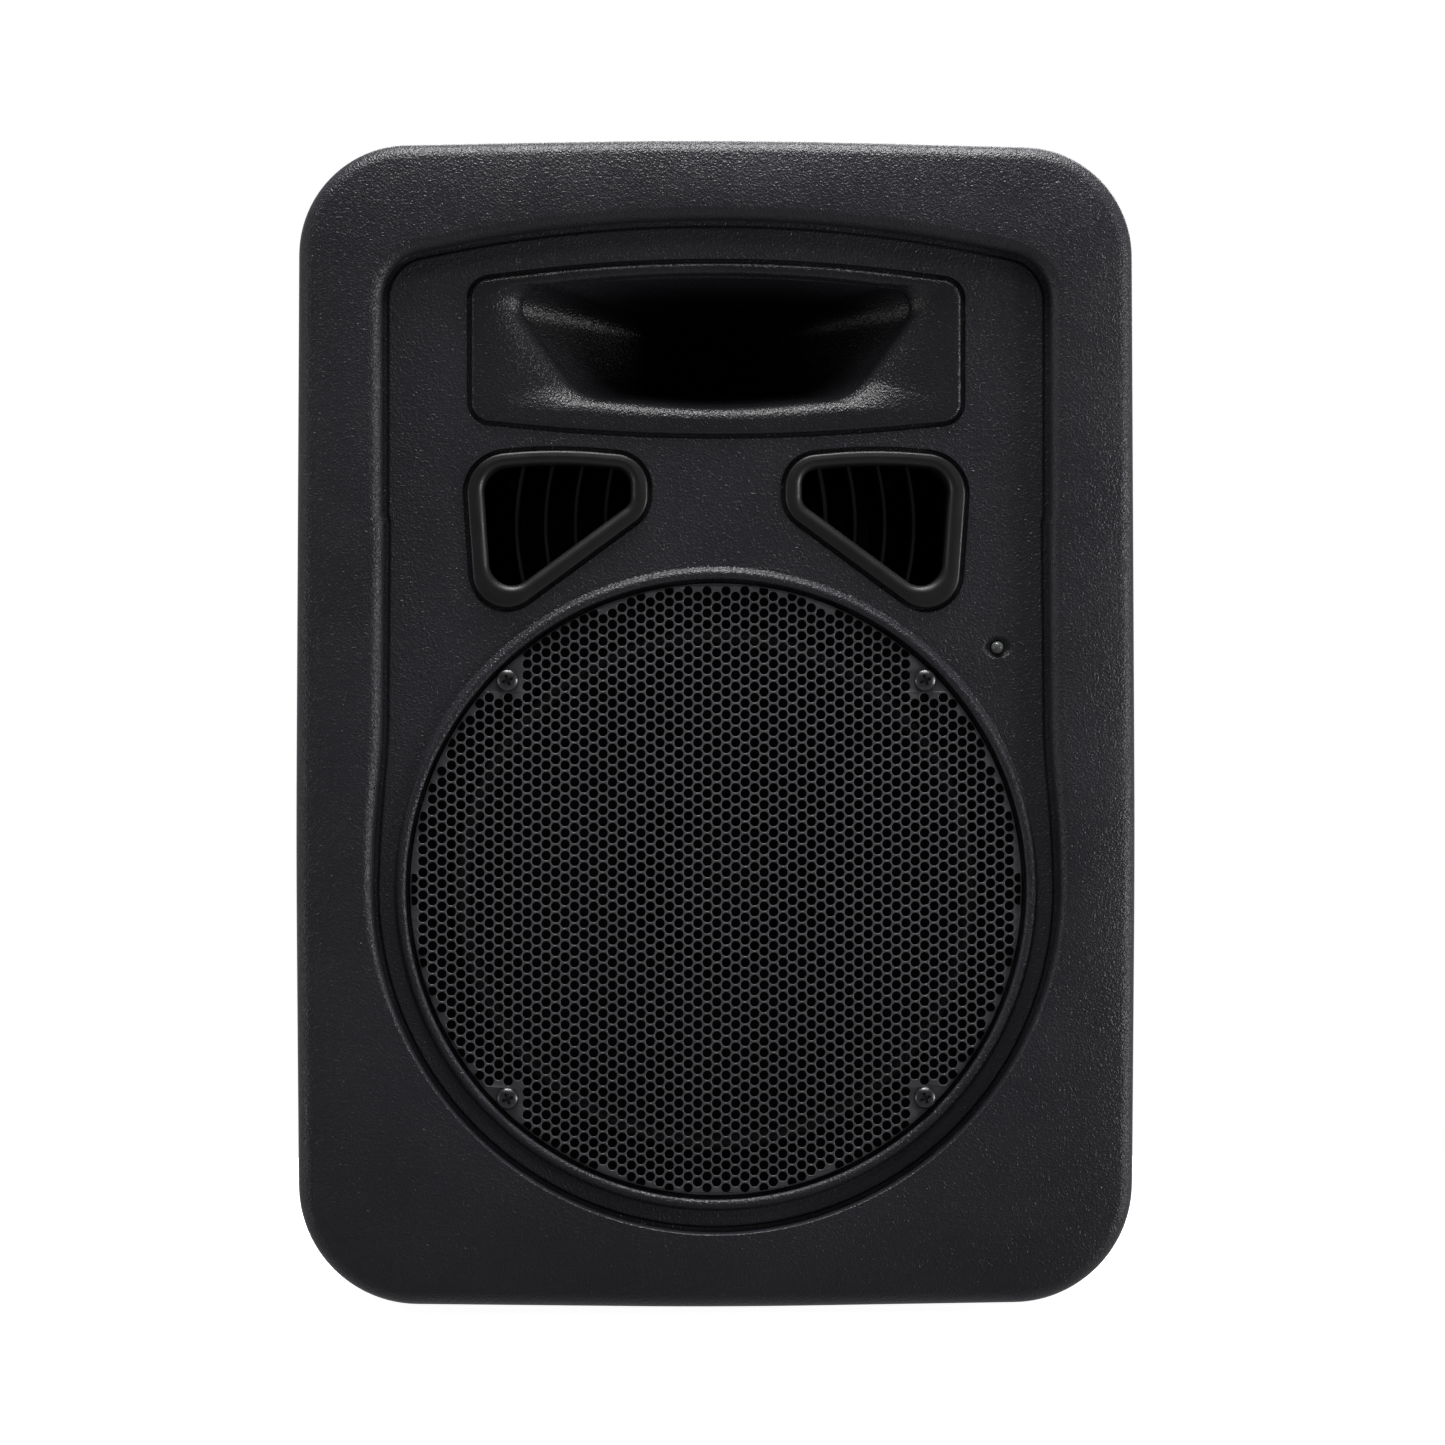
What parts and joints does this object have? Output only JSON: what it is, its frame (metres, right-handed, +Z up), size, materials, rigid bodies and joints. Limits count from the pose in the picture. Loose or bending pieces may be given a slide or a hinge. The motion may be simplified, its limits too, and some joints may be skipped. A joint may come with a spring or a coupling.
{
  "type": "pa speaker cabinet",
  "caption": "Moulded two-way powered PA loudspeaker cabinet with horn, front ports, perforated round grille, top handle, pole socket and rear amplifier panel.",
  "frame": {"origin": "middle of the bounding box's footprint, on the surface that the feet stand on", "axes": "+Z up, the front faces -Y, +X to the right seen from the front"},
  "size_m": [0.3502, 0.285, 0.4898],
  "materials": {
    "case_plastic": "black polypropylene with a leather grain, satin sheen",
    "smooth_plastic": "black moulded plastic with a fine texture",
    "socket_plastic": "black glass-filled nylon",
    "knob_plastic": "black soft-touch plastic with a white pointer line",
    "rubber": "black rubber",
    "grille_steel": "perforated steel with black powder coat",
    "black_steel": "black zinc-plated screw steel, cross recess",
    "zinc_steel": "zinc-plated steel",
    "cast_alloy": "cast aluminium",
    "ferrite": "sintered ferrite",
    "paper_pulp": "black pressed paper pulp",
    "spider_cloth": "resin-dipped corrugated cotton",
    "copper_wire": "copper voice coil on its former",
    "wrapped_winding": "copper winding and core under yellow polyester wrap",
    "circuit_board": "green solder mask with components",
    "indicator_lens": "translucent lens of the power indicator",
    "panel_metal": "steel panel with black powder coat",
    "heatsink_alloy": "extruded aluminium, black anodised",
    "lead_insulation": "PVC insulated twin lead"
  },
  "bodies": {
    "cabinet": {"front_shell": "case_plastic", "rear_shell": "case_plastic", "pole_socket": "smooth_plastic", "handle_cup": "smooth_plastic", "handle_grip": "smooth_plastic", "horn": "smooth_plastic", "port_duct_left": "smooth_plastic", "port_duct_right": "smooth_plastic", "driver_cover": "smooth_plastic", "woofer_terminal": "socket_plastic", "combo_jack": "socket_plastic", "link_output": "socket_plastic", "power_inlet": "socket_plastic", "switch_frame": "socket_plastic", "shell_seal": "rubber", "foot_1": "rubber", "foot_2": "rubber", "foot_3": "rubber", "foot_4": "rubber", "woofer_surround": "rubber", "woofer_grille": "grille_steel", "shell_screw_1": "black_steel", "shell_screw_2": "black_steel", "shell_screw_3": "black_steel", "shell_screw_4": "black_steel", "shell_screw_5": "black_steel", "shell_screw_6": "black_steel", "grille_screw_1": "black_steel", "grille_screw_2": "black_steel", "grille_screw_3": "black_steel", "grille_screw_4": "black_steel", "panel_screw_1": "black_steel", "panel_screw_2": "black_steel", "panel_screw_3": "black_steel", "panel_screw_4": "black_steel", "driver_body": "zinc_steel", "woofer_top_plate": "zinc_steel", "woofer_yoke": "zinc_steel", "woofer_frame": "cast_alloy", "driver_magnet": "ferrite", "woofer_magnet": "ferrite", "woofer_spider": "spider_cloth", "power_transformer": "wrapped_winding", "amp_board": "circuit_board", "power_led": "indicator_lens", "amp_panel": "panel_metal", "heatsink": "heatsink_alloy", "woofer_lead": "lead_insulation", "driver_lead": "lead_insulation"},
    "cone_assembly": {"woofer_cone": "paper_pulp", "woofer_dust_cap": "paper_pulp", "woofer_voice_coil": "copper_wire"},
    "diaphragm": {"driver_diaphragm": "cast_alloy"},
    "mic_level": {"mic_level_knob": "knob_plastic"},
    "line_level": {"line_level_knob": "knob_plastic"},
    "bass": {"bass_knob": "knob_plastic"},
    "treble": {"treble_knob": "knob_plastic"},
    "rocker": {"power_rocker": "socket_plastic"},
    "latch": {"jack_latch": "zinc_steel"},
    "fuse_tray": {"fuse_drawer": "socket_plastic"}
  },
  "joints": [
    {"name": "woofer_excursion", "type": "slide", "parent": "cabinet", "child": "cone_assembly", "axis": [0, -1, 0], "range_m": [-0.005, 0.005], "stiffness_N_per_m": 3500, "deforming": ["woofer_surround", "woofer_spider"]},
    {"name": "diaphragm_excursion", "type": "slide", "parent": "cabinet", "child": "diaphragm", "axis": [0, -1, 0], "range_m": [-0.0003, 0.0003], "stiffness_N_per_m": 13500},
    {"name": "mic_level_turn", "type": "hinge", "parent": "cabinet", "child": "mic_level", "pos_m": [-0.06, 0.1188, 0.268], "axis": [0, 1, 0], "range_deg": [-150, 150]},
    {"name": "line_level_turn", "type": "hinge", "parent": "cabinet", "child": "line_level", "pos_m": [-0.02, 0.1188, 0.268], "axis": [0, 1, 0], "range_deg": [-150, 150]},
    {"name": "bass_turn", "type": "hinge", "parent": "cabinet", "child": "bass", "pos_m": [0.02, 0.1188, 0.268], "axis": [0, 1, 0], "range_deg": [-150, 150]},
    {"name": "treble_turn", "type": "hinge", "parent": "cabinet", "child": "treble", "pos_m": [0.06, 0.1188, 0.268], "axis": [0, 1, 0], "range_deg": [-150, 150]},
    {"name": "power_switch", "type": "hinge", "parent": "cabinet", "child": "rocker", "pos_m": [-0.04, 0.1188, 0.092], "axis": [-1, 0, 0], "range_deg": [0, 20]},
    {"name": "latch_press", "type": "slide", "parent": "cabinet", "child": "latch", "axis": [0, -1, 0], "range_m": [0, 0.002], "stiffness_N_per_m": 600, "springref_m": -0.001},
    {"name": "fuse_drawer_pull", "type": "slide", "parent": "cabinet", "child": "fuse_tray", "axis": [0, 1, 0], "range_m": [0, 0.018]}
  ]
}
